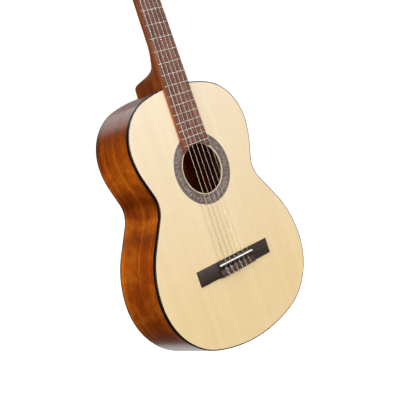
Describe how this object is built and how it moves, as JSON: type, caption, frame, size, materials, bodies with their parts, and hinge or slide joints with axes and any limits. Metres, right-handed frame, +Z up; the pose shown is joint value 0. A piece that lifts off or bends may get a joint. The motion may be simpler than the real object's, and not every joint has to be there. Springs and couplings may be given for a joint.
{
  "type": "classical guitar",
  "caption": "Nylon-string classical guitar with arched back, slotted head, worm-geared tuning rollers, inlaid soundhole and tie bridge.",
  "frame": {"origin": "bottom end of the body on the centre line, in the plane of the soundboard's front face, where a guitar stand's rest touches", "axes": "+Z up the neck, +X towards the treble side (string 1), +Y from the soundboard into the body; the front faces -Y"},
  "size_m": [0.3626, 0.1191, 0.9899],
  "materials": {
    "spruce_top": "clear gloss lacquer",
    "mahogany_body": "satin gloss lacquer",
    "spruce_bracing": "bare",
    "cedar_inner": "bare",
    "black_binding": "gloss",
    "mahogany_neck": "satin",
    "rosewood": "oiled",
    "rosewood_board": "oiled",
    "rosette_mosaic": "lacquered inlay",
    "nickel_silver": "polished",
    "bone": "polished bone",
    "nylon_string": "clear",
    "wound_string": "silvered winding",
    "brass_plate": "polished",
    "brass_gear": "satin",
    "roller_plastic": "satin",
    "pearl_button": "pearl gloss"
  },
  "bodies": {
    "guitar": {"soundboard": "spruce_top", "rosette": "rosette_mosaic", "rib_bass": "mahogany_body", "rib_treble": "mahogany_body", "back_plate": "mahogany_body", "back_centre_strip": "spruce_bracing", "top_binding": "black_binding", "back_binding": "black_binding", "end_strip": "black_binding", "neck_block": "cedar_inner", "tail_block": "cedar_inner", "top_linings": "cedar_inner", "back_linings": "cedar_inner", "fan_braces": "spruce_bracing", "harmonic_bars": "spruce_bracing", "bridge_patch": "spruce_bracing", "soundhole_patch": "spruce_bracing", "back_braces": "spruce_bracing", "neck": "mahogany_neck", "heel_cap": "mahogany_body", "headstock": "mahogany_neck", "head_veneer": "rosewood", "fingerboard": "rosewood_board", "frets": "nickel_silver", "nut": "bone", "bridge": "rosewood", "saddle": "bone", "string_1": "nylon_string", "string_2": "nylon_string", "string_3": "nylon_string", "string_4": "wound_string", "string_5": "wound_string", "string_6": "wound_string", "tuner_plate_bass": "brass_plate", "tuner_plate_treble": "brass_plate", "plate_screws": "brass_plate"},
    "roller_group_6": {"roller_6": "roller_plastic", "gear_6": "brass_gear"},
    "button_group_6": {"worm_6": "brass_gear", "button_6": "pearl_button"},
    "roller_group_5": {"roller_5": "roller_plastic", "gear_5": "brass_gear"},
    "button_group_5": {"worm_5": "brass_gear", "button_5": "pearl_button"},
    "roller_group_4": {"roller_4": "roller_plastic", "gear_4": "brass_gear"},
    "button_group_4": {"worm_4": "brass_gear", "button_4": "pearl_button"},
    "roller_group_1": {"roller_1": "roller_plastic", "gear_1": "brass_gear"},
    "button_group_1": {"worm_1": "brass_gear", "button_1": "pearl_button"},
    "roller_group_2": {"roller_2": "roller_plastic", "gear_2": "brass_gear"},
    "button_group_2": {"worm_2": "brass_gear", "button_2": "pearl_button"},
    "roller_group_3": {"roller_3": "roller_plastic", "gear_3": "brass_gear"},
    "button_group_3": {"worm_3": "brass_gear", "button_3": "pearl_button"}
  },
  "joints": [
    {"name": "button_6_turn", "type": "hinge", "parent": "guitar", "child": "button_group_6", "pos_m": [-0.0415, 0.01463, 0.85162], "axis": [0, 0.9703, -0.2419], "continuous": true},
    {"name": "roller_6_turn", "type": "hinge", "parent": "guitar", "child": "roller_group_6", "pos_m": [-0.0415, 0.01671, 0.85996], "axis": [1, 0, 0], "continuous": true},
    {"name": "button_5_turn", "type": "hinge", "parent": "guitar", "child": "button_group_5", "pos_m": [-0.0415, 0.0231, 0.88558], "axis": [0, 0.9703, -0.2419], "continuous": true},
    {"name": "roller_5_turn", "type": "hinge", "parent": "guitar", "child": "roller_group_5", "pos_m": [-0.0415, 0.02518, 0.89392], "axis": [1, 0, 0], "continuous": true},
    {"name": "button_4_turn", "type": "hinge", "parent": "guitar", "child": "button_group_4", "pos_m": [-0.0415, 0.03156, 0.91954], "axis": [0, 0.9703, -0.2419], "continuous": true},
    {"name": "roller_4_turn", "type": "hinge", "parent": "guitar", "child": "roller_group_4", "pos_m": [-0.0415, 0.03364, 0.92788], "axis": [1, 0, 0], "continuous": true},
    {"name": "button_1_turn", "type": "hinge", "parent": "guitar", "child": "button_group_1", "pos_m": [0.0415, 0.01463, 0.85162], "axis": [0, 0.9703, -0.2419], "continuous": true},
    {"name": "roller_1_turn", "type": "hinge", "parent": "guitar", "child": "roller_group_1", "pos_m": [0.0415, 0.01671, 0.85996], "axis": [1, 0, 0], "continuous": true},
    {"name": "button_2_turn", "type": "hinge", "parent": "guitar", "child": "button_group_2", "pos_m": [0.0415, 0.0231, 0.88558], "axis": [0, 0.9703, -0.2419], "continuous": true},
    {"name": "roller_2_turn", "type": "hinge", "parent": "guitar", "child": "roller_group_2", "pos_m": [0.0415, 0.02518, 0.89392], "axis": [1, 0, 0], "continuous": true},
    {"name": "button_3_turn", "type": "hinge", "parent": "guitar", "child": "button_group_3", "pos_m": [0.0415, 0.03156, 0.91954], "axis": [0, 0.9703, -0.2419], "continuous": true},
    {"name": "roller_3_turn", "type": "hinge", "parent": "guitar", "child": "roller_group_3", "pos_m": [0.0415, 0.03364, 0.92788], "axis": [1, 0, 0], "continuous": true}
  ],
  "couplings": [
    {"joint": "roller_6_turn", "follows": "button_6_turn", "ratio": -0.071429},
    {"joint": "roller_5_turn", "follows": "button_5_turn", "ratio": -0.071429},
    {"joint": "roller_4_turn", "follows": "button_4_turn", "ratio": -0.071429},
    {"joint": "roller_1_turn", "follows": "button_1_turn", "ratio": -0.071429},
    {"joint": "roller_2_turn", "follows": "button_2_turn", "ratio": -0.071429},
    {"joint": "roller_3_turn", "follows": "button_3_turn", "ratio": -0.071429}
  ]
}
